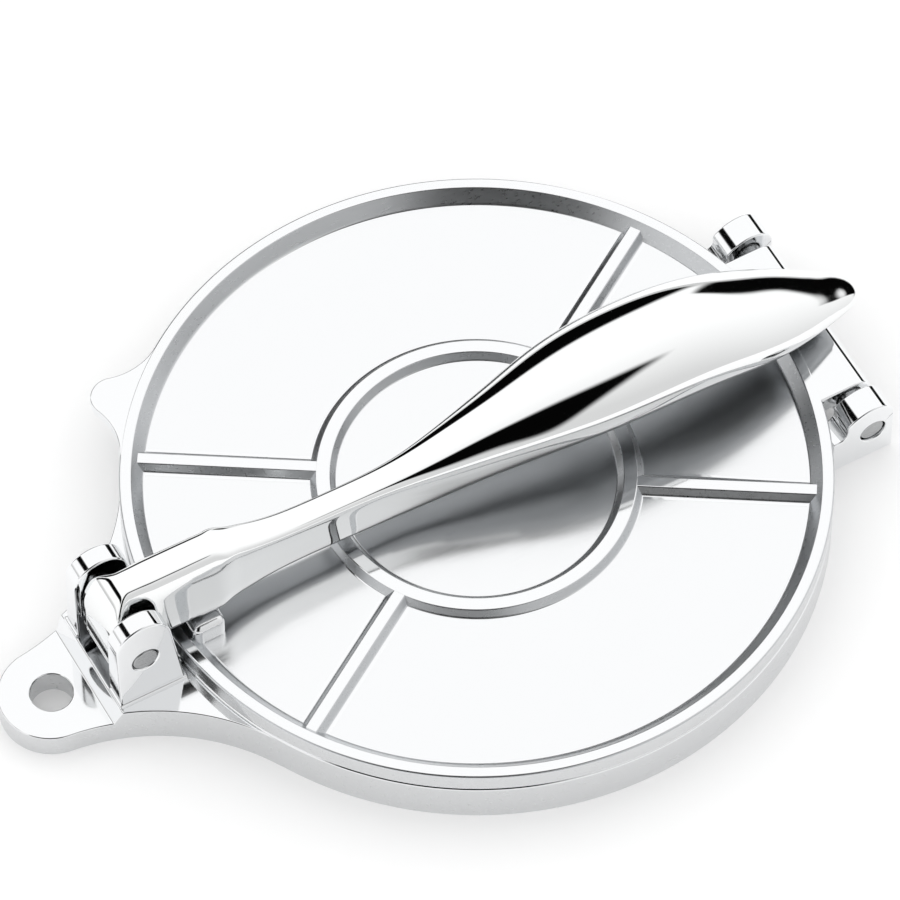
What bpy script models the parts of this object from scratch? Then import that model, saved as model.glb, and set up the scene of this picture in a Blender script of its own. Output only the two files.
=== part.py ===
"""Hand tortilla press: two round cast plates joined by a rear hinge, pressed together by a long lever.

Metres, +Z up. The lever's pivot is at the front, towards -Y, and the hinge of the plates at the rear.
Every size below is measured from the common centre of the two plates, and one empty then moves the
press so that the origin lies on the table, under the middle of its overall length.
"""

import math

import bmesh
import bpy
from mathutils import Matrix

# Working allowances
FIT_GAP = 0.0003
SIDE_PLAY = 0.0004
CUT_OVERRUN = 0.002
WELD_DEPTH = 0.001
FLUSH_STEP = 0.0001
FACET_ANGLE = math.radians(7.5)
DISC_STEPS = 108
ROD_STEPS = 32
EDGE_STEPS = 2
ROOT_FRONT_STEPS = 4

# Both plates
PLATE_RADIUS = 0.0825
PLATE_EDGE_ROUND = 0.0005
SPOKE_ANGLE = math.radians(32.3)

# Base plate: a pressing face over a ribbed, open underside
BASE_HEIGHT = 0.0116
BASE_SKIN = 0.0042
BASE_RIM_WALL = 0.0042
BASE_RIM_DRAFT = 0.0006
BASE_RIB_WIDTH = 0.003
BASE_RIB_DEPTH = 0.0042
BASE_RING_RADIUS = 0.0355

# Front deck, which carries the lever's ears, and the tab with the hanging hole
DECK_DROP = 0.0006
DECK_LENGTH = 0.0178
DECK_STEP_RUN = 0.002
TAB_HEIGHT = 0.007
TAB_STANDOFF = 0.0283
TAB_RADIUS = 0.0124
TAB_FILLET = 0.052
TAB_EDGE_ROUND = 0.0006
HANG_HOLE_RADIUS = 0.0049

# Upper plate: a rim, a ring rib and spokes round a recessed floor
UPPER_THICKNESS = 0.0051
RECESS_DEPTH = 0.0033
RIM_FLAT = 0.0028
RIM_SLOPE = 0.0027
RIB_DROP = 0.0015
RIB_SLOPE = 0.0013
RING_RIB_RADIUS = 0.0355
RING_RIB_WIDTH = 0.0032
SPOKE_WIDTH = 0.0028

# Pad that the lever's foot presses, and the tab that lifts the plate
PAD_WIDTH = 0.019
PAD_LENGTH = 0.0085
PAD_SETBACK = 0.004
PAD_RISE = 0.003
PAD_ROUND = 0.0012
FINGER_ANGLE = math.radians(42.7)
FINGER_STANDOFF = 0.0041
FINGER_RADIUS = 0.0055
FINGER_FILLET = 0.0155
FINGER_THICKNESS = 0.0032

# Front ears and the pin of the lever
LEVER_PIN_RADIUS = 0.00305
LEVER_PIN_STANDOFF = 0.0102
LEVER_PIN_ABOVE_PAD = 0.0049
LEVER_EAR_GAP = 0.0154
LEVER_EAR_THICKNESS = 0.0052
LEVER_EAR_RADIUS = 0.007
LEVER_EAR_CROWN = 0.0126
LEVER_EAR_SLOPE = math.radians(7)
LEVER_EAR_DRAFT = math.radians(2)
EAR_EDGE_ROUND = 0.0007

# Rear ears, the pin of the plates' hinge and the knuckle between the ears
HINGE_PIN_RADIUS = 0.0031
HINGE_PIN_STANDOFF = 0.0056
HINGE_PIN_DROP = 0.0021
HINGE_PIN_RECESS = 0.0006
HINGE_EAR_GAP = 0.0488
HINGE_EAR_THICKNESS = 0.0069
HINGE_EAR_CROWN = 0.0092
HINGE_EAR_FRONT = 0.007
HINGE_EAR_BACK = 0.0055
HINGE_EAR_FILLET = 0.0025
KNUCKLE_SIDE_GAP = 0.002
KNUCKLE_RADIUS = 0.0047
KNUCKLE_ROUND = 0.0043
PIN_END_ROUND = 0.0003

# Lever: measured from its pivot, with the grip towards the rear
LEVER_REACH = 0.1943
LEVER_CROWN = 0.0178
GRIP_HALF_WIDTH = 0.0152
ROOT_FRONT = 0.0057
ROOT_DEPTH = 0.0099
ROOT_TOP_HALF_WIDTH = 0.004
ROOT_CROWN_SETBACK = 0.0015
ROOT_CROWN_FOOT = 0.0005
ROOT_EDGE_ROUND = 0.0008
FOOT_SETBACK = 0.0032
FOOT_RELIEF = 0.0006
RIM_PASS_GAP = 0.0024
LEVER_RING_POINTS = 28
LEVER_ROW_LENGTH = 0.0045

# Arm of the lever, one row a station: place along the reach, top and bottom as shares of the crown,
# half width as a share of the grip's half width, and how square the section is
ARM_SHARES = (
    (0.137, 0.71, -0.28, 0.40, 0.90),
    (0.17, 0.54, -0.30, 0.27, 0.90),
    (0.22, 0.43, -0.30, 0.25, 0.90),
    (0.28, 0.41, -0.32, 0.25, 0.90),
    (0.34, 0.40, -0.34, 0.27, 0.85),
    (0.38, 0.42, -0.33, 0.32, 0.70),
    (0.42, 0.51, -0.26, 0.44, 0.45),
    (0.47, 0.64, -0.16, 0.57, 0.30),
    (0.52, 0.76, -0.09, 0.71, 0.22),
    (0.57, 0.90, 0.00, 0.87, 0.18),
    (0.62, 0.97, 0.04, 0.97, 0.16),
    (0.67, 1.00, 0.05, 1.00, 0.16),
    (0.72, 0.99, 0.04, 1.00, 0.16),
    (0.77, 0.91, -0.01, 0.98, 0.16),
    (0.82, 0.73, -0.11, 0.95, 0.14),
    (0.87, 0.50, -0.22, 0.86, 0.10),
    (0.90, 0.37, -0.25, 0.75, 0.06),
    (0.93, 0.22, -0.28, 0.64, 0.04),
    (0.96, 0.04, -0.33, 0.49, 0.02),
    (0.98, -0.07, -0.33, 0.36, 0.00),
    (0.993, -0.16, -0.29, 0.21, 0.00),
    (1.00, -0.23, -0.25, 0.05, 0.00),
)
ARM_TOP_WIDTH_SHARE = 0.92
ROOT_SQUARE_SHARE = 0.90
ROUND_TO_BOX_SHARE = 0.80

# Heights and distances that follow from the sizes above
DECK_TOP = BASE_HEIGHT - DECK_DROP
DECK_REACH = PLATE_RADIUS + DECK_LENGTH
TAB_REACH = PLATE_RADIUS + TAB_STANDOFF
UPPER_BOTTOM = BASE_HEIGHT + FIT_GAP
UPPER_TOP = UPPER_BOTTOM + UPPER_THICKNESS
FLOOR_TOP = UPPER_TOP - RECESS_DEPTH
RIB_TOP = UPPER_TOP - RIB_DROP
RIM_INNER_RADIUS = PLATE_RADIUS - RIM_FLAT
PAD_TOP = UPPER_TOP + PAD_RISE
PAD_FRONT_REACH = PLATE_RADIUS - PAD_SETBACK
FINGER_REACH = PLATE_RADIUS + FINGER_STANDOFF
LEVER_PIN_REACH = PLATE_RADIUS + LEVER_PIN_STANDOFF
LEVER_PIN_HEIGHT = PAD_TOP + LEVER_PIN_ABOVE_PAD
LEVER_EAR_OUTER = LEVER_EAR_GAP / 2 + LEVER_EAR_THICKNESS
HINGE_PIN_REACH = PLATE_RADIUS + HINGE_PIN_STANDOFF
HINGE_PIN_HEIGHT = BASE_HEIGHT - HINGE_PIN_DROP
HINGE_EAR_OUTER = HINGE_EAR_GAP / 2 + HINGE_EAR_THICKNESS
KNUCKLE_HALF_WIDTH = HINGE_EAR_GAP / 2 - KNUCKLE_SIDE_GAP
ROOT_HALF_WIDTH = LEVER_EAR_GAP / 2 - SIDE_PLAY
ROOT_TOP = LEVER_PIN_HEIGHT - DECK_TOP - FIT_GAP
FRONT_END = TAB_REACH + TAB_RADIUS
REAR_END = max(LEVER_REACH - LEVER_PIN_REACH, HINGE_PIN_REACH + HINGE_EAR_BACK, PLATE_RADIUS)
PLATE_CENTRE_Y = (FRONT_END - REAR_END) / 2

# Frames for outlines: standing lengthwise, as the ears are, with the outline's normal along +X
LENGTHWISE = Matrix(((0, 0, 1, 0), (1, 0, 0, 0), (0, 1, 0, 0), (0, 0, 0, 1)))


# Scene helpers

def clear_scene():
    for item in list(bpy.data.objects):
        bpy.data.objects.remove(item, do_unlink=True)


def new_collection(name):
    collection = bpy.data.collections.new(name)
    bpy.context.scene.collection.children.link(collection)
    return collection


def new_axis(name, parent, place):
    axis = bpy.data.objects.new(name, None)
    axis.empty_display_size = PLATE_RADIUS
    axis.parent = parent
    axis.location = place
    bpy.context.scene.collection.objects.link(axis)
    return axis


def add_piece(name, mesh, placing=None):
    """Adds a mesh, placed from the plates' centre, as a helper shape that the finished pieces use."""
    piece = bpy.data.objects.new(name, mesh)
    piece.parent = press
    piece.matrix_local = placing or Matrix.Identity(4)
    piece.hide_render = True
    piece.display_type = 'WIRE'
    helpers.objects.link(piece)
    return piece


def metal(name, colour, roughness):
    material = bpy.data.materials.new(name)
    material.use_nodes = True
    shader = material.node_tree.nodes['Principled BSDF']
    shader.inputs['Base Color'].default_value = (*colour, 1)
    shader.inputs['Metallic'].default_value = 1
    shader.inputs['Roughness'].default_value = roughness
    material.diffuse_color = (*colour, 1)
    return material


# Outlines

def arc(centre, radius, start, end, steps=None):
    """Points on an arc between two angles, about one facet angle apart where no count is given."""
    steps = steps or max(1, math.ceil(abs(end - start) / FACET_ANGLE))
    angles = [start + (end - start) * step / steps for step in range(steps + 1)]
    return [(centre[0] + radius * math.cos(a), centre[1] + radius * math.sin(a)) for a in angles]


def necked_tab_outline(disc_radius, root_radius, reach, tab_radius, fillet_radius):
    """A round-ended tab on a disc's -Y side, which flares into the disc by one fillet on each side.

    Each fillet touches both circles from outside, so its centre is at the sum of the radii from both
    centres. The outline closes along an arc inside the disc, at root_radius.
    """
    to_disc = disc_radius + fillet_radius
    to_tab = tab_radius + fillet_radius
    fillet_y = (to_tab ** 2 - to_disc ** 2 - reach ** 2) / (2 * reach)
    fillet_x = math.sqrt(to_disc ** 2 - fillet_y ** 2)
    disc_side = math.atan2(fillet_y, fillet_x)
    tab_side = math.atan2(fillet_y + reach, fillet_x)
    right = arc((fillet_x, fillet_y), fillet_radius, disc_side + math.pi, tab_side + math.pi)
    right += arc((0, -reach), tab_radius, tab_side, -math.pi / 2)[1:]
    left = [(-x, y) for x, y in reversed(right[:-1])]
    root = arc((0, 0), root_radius, -math.pi - disc_side, disc_side)
    return right + left + root


def lever_ear_outline():
    """An upright front edge, a round crown over the pin and a rear edge that leans back."""
    crown = (-LEVER_PIN_REACH, LEVER_PIN_HEIGHT + LEVER_EAR_CROWN - LEVER_EAR_RADIUS)
    foot = DECK_TOP - WELD_DEPTH
    outline = [(crown[0] - LEVER_EAR_RADIUS, foot)]
    outline += arc(crown, LEVER_EAR_RADIUS, math.pi, LEVER_EAR_SLOPE)
    rear_y, rear_z = outline[-1]
    outline.append((rear_y + (rear_z - foot) * math.tan(LEVER_EAR_SLOPE), foot))
    return outline


def hinge_ear_outline():
    """A block behind the rim that rises, past a small fillet, to a crown centred on the hinge pin."""
    pin = (HINGE_PIN_REACH, HINGE_PIN_HEIGHT)
    root = math.sqrt(PLATE_RADIUS ** 2 - HINGE_EAR_OUTER ** 2) + WELD_DEPTH
    front = pin[0] - HINGE_EAR_FRONT
    foot = (front - HINGE_EAR_FILLET, DECK_TOP + HINGE_EAR_FILLET)
    shoulder = math.pi - math.acos(HINGE_EAR_FRONT / HINGE_EAR_CROWN)
    corner = (pin[0], pin[1] + HINGE_EAR_CROWN - HINGE_EAR_BACK)
    outline = [(root, FLUSH_STEP), (root, DECK_TOP)]
    outline += arc(foot, HINGE_EAR_FILLET, -math.pi / 2, 0)
    outline += arc(pin, HINGE_EAR_CROWN, shoulder, math.pi / 2)
    outline += arc(corner, HINGE_EAR_BACK, math.pi / 2, 0)[1:]
    outline.append((pin[0] + HINGE_EAR_BACK, FLUSH_STEP))
    return outline


def knuckle_outline():
    """The barrel round the hinge pin, carried up to the plate's top face behind the rim."""
    pin = (HINGE_PIN_REACH, HINGE_PIN_HEIGHT)
    root = math.sqrt(PLATE_RADIUS ** 2 - KNUCKLE_HALF_WIDTH ** 2) - WELD_DEPTH
    top = UPPER_TOP - FLUSH_STEP
    bottom = UPPER_BOTTOM + FLUSH_STEP
    corner = (pin[0] + KNUCKLE_RADIUS - KNUCKLE_ROUND, top - KNUCKLE_ROUND)
    outline = [(root, top)]
    outline += arc(corner, KNUCKLE_ROUND, math.pi / 2, 0)
    outline += arc(pin, KNUCKLE_RADIUS, 0, -math.pi)
    outline += [(pin[0] - KNUCKLE_RADIUS, bottom), (root, bottom)]
    return outline


def edge_round(height, start, end):
    """The small round on a plate's outer edge, as points of the plate's profile."""
    return arc((PLATE_RADIUS - PLATE_EDGE_ROUND, height), PLATE_EDGE_ROUND, start, end, EDGE_STEPS)


def rib_section(top_width, slope, top, floor):
    """A rib's trapezium, whose slope goes on below the floor that it is sunk in."""
    foot = floor - WELD_DEPTH
    foot_half = top_width / 2 + slope * (top - foot) / (top - floor)
    return [(-foot_half, foot), (foot_half, foot), (top_width / 2, top), (-top_width / 2, top)]


# Solids

def turned(name, outline, steps=DISC_STEPS):
    """A profile from the axis out, down its outer side and back in, turned round the plates' axis."""
    mesh = bpy.data.meshes.new(name)
    points = [(radius, 0, height) for radius, height in outline]
    mesh.from_pydata(points, [(i, i + 1) for i in range(len(points) - 1)], [])
    piece = add_piece(name, mesh)
    screw = piece.modifiers.new('Turn', 'SCREW')
    screw.steps = steps
    screw.render_steps = steps
    screw.use_merge_vertices = True
    screw.merge_threshold = 0.00001
    return piece


def extruded(name, outline, depth, placing):
    """A filled outline with half its depth on each side of its plane, welded into one closed mesh."""
    curve = bpy.data.curves.new(name, 'CURVE')
    curve.dimensions = '2D'
    curve.fill_mode = 'BOTH'
    curve.extrude = depth / 2
    spline = curve.splines.new('POLY')
    spline.points.add(len(outline) - 1)
    for point, (across, up) in zip(spline.points, outline):
        point.co = (across, up, 0, 1)
    spline.use_cyclic_u = True
    flat = bpy.data.objects.new(name, curve)
    helpers.objects.link(flat)
    bpy.context.view_layer.update()
    mesh = bpy.data.meshes.new_from_object(flat.evaluated_get(bpy.context.evaluated_depsgraph_get()))
    bpy.data.objects.remove(flat)
    bpy.data.curves.remove(curve)
    work = bmesh.new()
    work.from_mesh(mesh)
    bmesh.ops.remove_doubles(work, verts=work.verts, dist=0.000001)
    bmesh.ops.dissolve_limit(work, angle_limit=math.radians(0.5), verts=work.verts, edges=work.edges)
    bmesh.ops.recalc_face_normals(work, faces=work.faces)
    work.to_mesh(mesh)
    work.free()
    return add_piece(name, mesh, placing)


def crosswise_rod(name, radius, length, reach, height, steps=ROD_STEPS):
    """A round rod along X, centred on the press's middle plane."""
    mesh = bpy.data.meshes.new(name)
    work = bmesh.new()
    placing = Matrix.Translation((0, reach, height)) @ Matrix.Rotation(math.pi / 2, 4, 'Y')
    bmesh.ops.create_cone(work, cap_ends=True, segments=steps, radius1=radius, radius2=radius,
                          depth=length, matrix=placing)
    work.to_mesh(mesh)
    work.free()
    return add_piece(name, mesh)


def block(name, size, centre):
    mesh = bpy.data.meshes.new(name)
    work = bmesh.new()
    placing = Matrix.Translation(centre) @ Matrix.Diagonal((*size, 1))
    bmesh.ops.create_cube(work, size=1, matrix=placing)
    work.to_mesh(mesh)
    work.free()
    return add_piece(name, mesh)


def spoke(name, outline, angle, inner_radius, outer_radius):
    """A bar along a radius, at an angle from +Y, between two radii."""
    across = (-math.cos(angle), math.sin(angle), 0)
    along = (math.sin(angle), math.cos(angle), 0)
    middle = (inner_radius + outer_radius) / 2
    placing = Matrix((across, (0, 0, 1), along)).transposed().to_4x4()
    placing.translation = (along[0] * middle, along[1] * middle, 0)
    return extruded(name, outline, outer_radius - inner_radius, placing)


def rounded(piece, width, segments=2):
    """Rounds the piece's sharp edges, and leaves the facets of its curves alone."""
    bevel = piece.modifiers.new('Rounded edges', 'BEVEL')
    bevel.width = width
    bevel.segments = segments
    bevel.limit_method = 'ANGLE'
    bevel.angle_limit = math.radians(40)
    return piece


def combine(piece, other, operation):
    boolean = piece.modifiers.new(other.name, 'BOOLEAN')
    boolean.operation = operation
    boolean.object = other
    boolean.solver = 'EXACT'
    return piece


def finish(piece, node, material, axis=None):
    """Turns a helper shape into the finished piece, hung on the empty that lies on its axis."""
    bpy.context.view_layer.update()
    mesh = bpy.data.meshes.new_from_object(piece.evaluated_get(bpy.context.evaluated_depsgraph_get()))
    mesh.name = node
    mesh.materials.clear()
    mesh.materials.append(material)
    mesh.shade_smooth()
    mesh.set_sharp_from_angle(angle=math.radians(30))
    done = bpy.data.objects.new(node, mesh)
    done.parent = axis or press
    model.objects.link(done)
    bpy.context.view_layer.update()
    done.matrix_world = piece.matrix_world
    bpy.data.objects.remove(piece)
    return done


# Base plate

def base_underside():
    """Profile of the base: pressing face, rim, and a ring rib under the pressing face."""
    skin_bottom = BASE_HEIGHT - BASE_SKIN
    rib_bottom = skin_bottom - BASE_RIB_DEPTH
    wall_inner = PLATE_RADIUS - BASE_RIM_WALL
    ring_outer = BASE_RING_RADIUS + BASE_RIB_WIDTH / 2
    ring_inner = BASE_RING_RADIUS - BASE_RIB_WIDTH / 2
    outline = [(0, BASE_HEIGHT)]
    outline += edge_round(BASE_HEIGHT - PLATE_EDGE_ROUND, math.pi / 2, 0)
    outline += edge_round(PLATE_EDGE_ROUND, 0, -math.pi / 2)
    outline += [(wall_inner, 0), (wall_inner - BASE_RIM_DRAFT, skin_bottom), (ring_outer, skin_bottom)]
    outline += [(ring_outer, rib_bottom), (ring_inner, rib_bottom), (ring_inner, skin_bottom)]
    outline.append((0, skin_bottom))
    return outline


def front_tab():
    """Deck and hanging tab: one necked outline, stepped down ahead of the deck."""
    outline = necked_tab_outline(PLATE_RADIUS, PLATE_RADIUS - BASE_RIM_WALL / 2, TAB_REACH,
                                 TAB_RADIUS, TAB_FILLET)
    placing = Matrix.Translation((0, 0, (DECK_TOP + FLUSH_STEP) / 2))
    tab = extruded('front tab', outline, DECK_TOP - FLUSH_STEP, placing)
    front = -FRONT_END - CUT_OVERRUN
    slope = DECK_STEP_RUN / (DECK_TOP - TAB_HEIGHT)
    step = [(front, TAB_HEIGHT), (-DECK_REACH - DECK_STEP_RUN, TAB_HEIGHT),
            (-DECK_REACH + CUT_OVERRUN * slope, DECK_TOP + CUT_OVERRUN),
            (front, DECK_TOP + CUT_OVERRUN)]
    cutter = extruded('deck step', step, 2 * (TAB_FILLET + TAB_RADIUS), LENGTHWISE)
    return rounded(combine(tab, cutter, 'DIFFERENCE'), TAB_EDGE_ROUND)


def lever_ear(side):
    middle = side * (LEVER_EAR_GAP + LEVER_EAR_THICKNESS) / 2
    placing = Matrix.Translation((middle, 0, 0)) @ LENGTHWISE
    ear = extruded('lever ear', lever_ear_outline(), LEVER_EAR_THICKNESS, placing)
    for vertex in ear.data.vertices:
        if vertex.co.z * side > 0:
            vertex.co.z += side * (LEVER_PIN_HEIGHT - vertex.co.y) * math.tan(LEVER_EAR_DRAFT)
    return rounded(ear, EAR_EDGE_ROUND)


def hinge_ear(side):
    middle = side * (HINGE_EAR_GAP + HINGE_EAR_THICKNESS) / 2
    placing = Matrix.Translation((middle, 0, 0)) @ LENGTHWISE
    ear = extruded('hinge ear', hinge_ear_outline(), HINGE_EAR_THICKNESS, placing)
    return rounded(ear, EAR_EDGE_ROUND)


def base_ribs():
    skin_bottom = BASE_HEIGHT - BASE_SKIN
    top = skin_bottom + WELD_DEPTH
    foot = skin_bottom - BASE_RIB_DEPTH + FLUSH_STEP
    half = BASE_RIB_WIDTH / 2
    outline = [(-half, foot), (half, foot), (half, top), (-half, top)]
    outer = PLATE_RADIUS - BASE_RIM_WALL / 2
    return [spoke('base rib', outline, angle, BASE_RING_RADIUS, outer) for angle in spoke_angles()]


def spoke_angles():
    return [SPOKE_ANGLE, -SPOKE_ANGLE, math.pi - SPOKE_ANGLE, math.pi + SPOKE_ANGLE]


def make_base(material):
    base = turned('base', base_underside())
    combine(base, front_tab(), 'UNION')
    for side in (-1, 1):
        combine(base, lever_ear(side), 'UNION')
        combine(base, hinge_ear(side), 'UNION')
    for rib in base_ribs():
        combine(base, rib, 'UNION')
    hole_placing = Matrix.Translation((0, -TAB_REACH, TAB_HEIGHT / 2))
    hole = extruded('hanging hole', arc((0, 0), HANG_HOLE_RADIUS, 0, 2 * math.pi)[:-1],
                    TAB_HEIGHT + 2 * CUT_OVERRUN, hole_placing)
    combine(base, hole, 'DIFFERENCE')
    combine(base, lever_pin_bore(), 'DIFFERENCE')
    combine(base, hinge_pin_bore(), 'DIFFERENCE')
    return finish(base, 'base_plate', material)


# Pins and their bores

def lever_pin_bore():
    length = 2 * (LEVER_EAR_OUTER + CUT_OVERRUN)
    return crosswise_rod('lever pin bore', LEVER_PIN_RADIUS + FIT_GAP, length, -LEVER_PIN_REACH,
                         LEVER_PIN_HEIGHT)


def hinge_pin_bore():
    length = 2 * (HINGE_EAR_OUTER + CUT_OVERRUN)
    return crosswise_rod('hinge pin bore', HINGE_PIN_RADIUS + FIT_GAP, length, HINGE_PIN_REACH,
                         HINGE_PIN_HEIGHT)


def make_pins(material):
    lever_pin = crosswise_rod('lever pin', LEVER_PIN_RADIUS, 2 * LEVER_EAR_OUTER, -LEVER_PIN_REACH,
                              LEVER_PIN_HEIGHT)
    finish(rounded(lever_pin, PIN_END_ROUND), 'lever_pin', material)
    hinge_length = 2 * (HINGE_EAR_OUTER - HINGE_PIN_RECESS)
    hinge_pin = crosswise_rod('hinge pin', HINGE_PIN_RADIUS, hinge_length, HINGE_PIN_REACH,
                              HINGE_PIN_HEIGHT)
    finish(rounded(hinge_pin, PIN_END_ROUND), 'hinge_pin', material)


# Upper plate

def upper_profile():
    """Profile of the upper plate: floor, ring rib, sloped rim and the flat pressing face below."""
    ring_outer = RING_RIB_RADIUS + RING_RIB_WIDTH / 2
    ring_inner = RING_RIB_RADIUS - RING_RIB_WIDTH / 2
    outline = [(0, FLOOR_TOP), (ring_inner - RIB_SLOPE, FLOOR_TOP), (ring_inner, RIB_TOP)]
    outline += [(ring_outer, RIB_TOP), (ring_outer + RIB_SLOPE, FLOOR_TOP)]
    outline += [(RIM_INNER_RADIUS - RIM_SLOPE, FLOOR_TOP), (RIM_INNER_RADIUS, UPPER_TOP)]
    outline += edge_round(UPPER_TOP - PLATE_EDGE_ROUND, math.pi / 2, 0)
    outline += edge_round(UPPER_BOTTOM + PLATE_EDGE_ROUND, 0, -math.pi / 2)
    outline.append((0, UPPER_BOTTOM))
    return outline


def knuckle():
    """The block round the hinge pin, hollowed in front to end inside the rim."""
    body = extruded('knuckle', knuckle_outline(), 2 * KNUCKLE_HALF_WIDTH, LENGTHWISE)
    circle = arc((0, 0), PLATE_RADIUS - RIM_FLAT / 2, 0, 2 * math.pi, DISC_STEPS)[:-1]
    core = extruded('knuckle front', circle, 2 * UPPER_TOP, Matrix.Translation((0, 0, UPPER_TOP)))
    return combine(rounded(body, PLATE_EDGE_ROUND, 1), core, 'DIFFERENCE')


def upper_spokes():
    outline = rib_section(SPOKE_WIDTH, RIB_SLOPE, RIB_TOP - FLUSH_STEP, FLOOR_TOP)
    outer = PLATE_RADIUS - RIM_FLAT / 2
    return [spoke('spoke', outline, angle, RING_RIB_RADIUS, outer) for angle in spoke_angles()]


def finger_tab():
    outline = necked_tab_outline(PLATE_RADIUS, PLATE_RADIUS - RIM_FLAT / 2, FINGER_REACH,
                                 FINGER_RADIUS, FINGER_FILLET)
    placing = Matrix.Rotation(-FINGER_ANGLE, 4, 'Z')
    placing.translation = (0, 0, UPPER_TOP - FLUSH_STEP - FINGER_THICKNESS / 2)
    return rounded(extruded('finger tab', outline, FINGER_THICKNESS, placing), PLATE_EDGE_ROUND, 1)


def press_pad():
    foot = FLOOR_TOP - WELD_DEPTH
    size = (PAD_WIDTH, PAD_LENGTH, PAD_TOP - foot)
    centre = (0, PAD_LENGTH / 2 - PAD_FRONT_REACH, (PAD_TOP + foot) / 2)
    return rounded(block('press pad', size, centre), PAD_ROUND, 3)


def make_upper_plate(material, axis):
    plate = turned('upper', upper_profile())
    combine(plate, knuckle(), 'UNION')
    combine(plate, finger_tab(), 'UNION')
    for bar in upper_spokes():
        combine(plate, bar, 'UNION')
    combine(plate, press_pad(), 'UNION')
    combine(plate, hinge_pin_bore(), 'DIFFERENCE')
    return finish(plate, 'upper_plate', material, axis)


# Lever

def root_front(step):
    """One row of the round front: the top follows a quarter ellipse and the bottom an arc."""
    angle = math.pi / 2 * step / ROOT_FRONT_STEPS
    place = ROOT_CROWN_SETBACK - (ROOT_FRONT + ROOT_CROWN_SETBACK) * math.cos(angle)
    top = ROOT_CROWN_FOOT + (ROOT_TOP - ROOT_CROWN_FOOT) * math.sin(angle)
    bottom = -math.sqrt(ROOT_DEPTH ** 2 - place ** 2)
    half = ROOT_HALF_WIDTH - ROOT_EDGE_ROUND if step == 0 else ROOT_HALF_WIDTH
    narrowed = max(0, 2 * step / ROOT_FRONT_STEPS - 1)
    top_half = half + (ROOT_TOP_HALF_WIDTH - half) * narrowed
    return place, top, bottom, half, top_half


def root_stations():
    """The root between the ears, the step over the rim and the foot that presses the pad.

    Each row has a place behind the pivot, the top and bottom above it, the half width, and the half
    width of the top, which is full on the round front and draws in to a strip behind it.
    """
    heel = LEVER_PIN_STANDOFF - RIM_PASS_GAP
    pad_front = LEVER_PIN_REACH - PAD_FRONT_REACH
    foot_front = pad_front + FOOT_SETBACK
    pad_back = pad_front + PAD_LENGTH
    foot = PAD_TOP + FIT_GAP - LEVER_PIN_HEIGHT
    wide = ROOT_HALF_WIDTH
    strip = ROOT_TOP_HALF_WIDTH
    rows = [root_front(step) for step in range(ROOT_FRONT_STEPS + 1)]
    return rows + [
        (heel / 2, ROOT_TOP, ROOT_EDGE_ROUND - ROOT_DEPTH, wide, strip),
        (heel, ROOT_TOP, foot + FOOT_RELIEF, wide, strip),
        (foot_front - ROOT_EDGE_ROUND, ROOT_TOP, foot + FOOT_RELIEF, wide, strip),
        (foot_front, ROOT_TOP, foot, wide, strip),
        (pad_back, ROOT_TOP, foot, wide, strip),
    ]


def lever_stations():
    """All stations from the root's front to the tip, with the top's half width and the squareness."""
    rows = [(*row, ROOT_SQUARE_SHARE) for row in root_stations()]
    for place, top, bottom, half, square in ARM_SHARES:
        half_width = half * GRIP_HALF_WIDTH
        top_half = half_width * ARM_TOP_WIDTH_SHARE
        rows.append((place * LEVER_REACH, top * LEVER_CROWN, bottom * LEVER_CROWN, half_width,
                     top_half, square))
    return rows


def slopes(places, values):
    """Slopes at the stations of a smooth line through them that never swings past a station."""
    runs = [b - a for a, b in zip(places, places[1:])]
    steps = [(b - a) / run for a, b, run in zip(values, values[1:], runs)]
    inner = [0 if a * b <= 0 else 2 * a * b / (a + b) for a, b in zip(steps, steps[1:])]
    return [steps[0]] + inner + [steps[-1]]


def between(places, values, place):
    """Value at a place on the smooth line through the stations."""
    tangents = slopes(places, values)
    last = len(places) - 2
    index = min(last, sum(1 for station in places[1:] if station < place))
    run = places[index + 1] - places[index]
    t = (place - places[index]) / run
    start = values[index] * (1 + 2 * t) * (1 - t) ** 2 + tangents[index] * run * t * (1 - t) ** 2
    end = values[index + 1] * t * t * (3 - 2 * t) - tangents[index + 1] * run * t * t * (1 - t)
    return start + end


def section_ring(place, top, bottom, half, top_half, square):
    """One closed ring: an ellipse where square is 0, a box with rounded corners where it nears 1.

    Towards the top the half width draws in to top_half, most of it in the upper half of the section.
    """
    power = 1 - square * ROUND_TO_BOX_SHARE
    ring = []
    for step in range(LEVER_RING_POINTS):
        angle = 2 * math.pi * (step + 0.5) / LEVER_RING_POINTS
        across = math.copysign(abs(math.cos(angle)) ** power, math.cos(angle))
        up = math.copysign(abs(math.sin(angle)) ** power, math.sin(angle))
        rise = (1 + up) / 2
        width = half + (top_half - half) * rise ** 2
        ring.append((width * across, place, bottom + (top - bottom) * rise))
    return ring


def lever_places(stations):
    """Every station's own place, and rows between them no further apart than the row length."""
    places = [stations[0]]
    for start, end in zip(stations, stations[1:]):
        count = max(1, math.ceil((end - start) / LEVER_ROW_LENGTH))
        places += [start + (end - start) * step / count for step in range(1, count + 1)]
    return places


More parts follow.
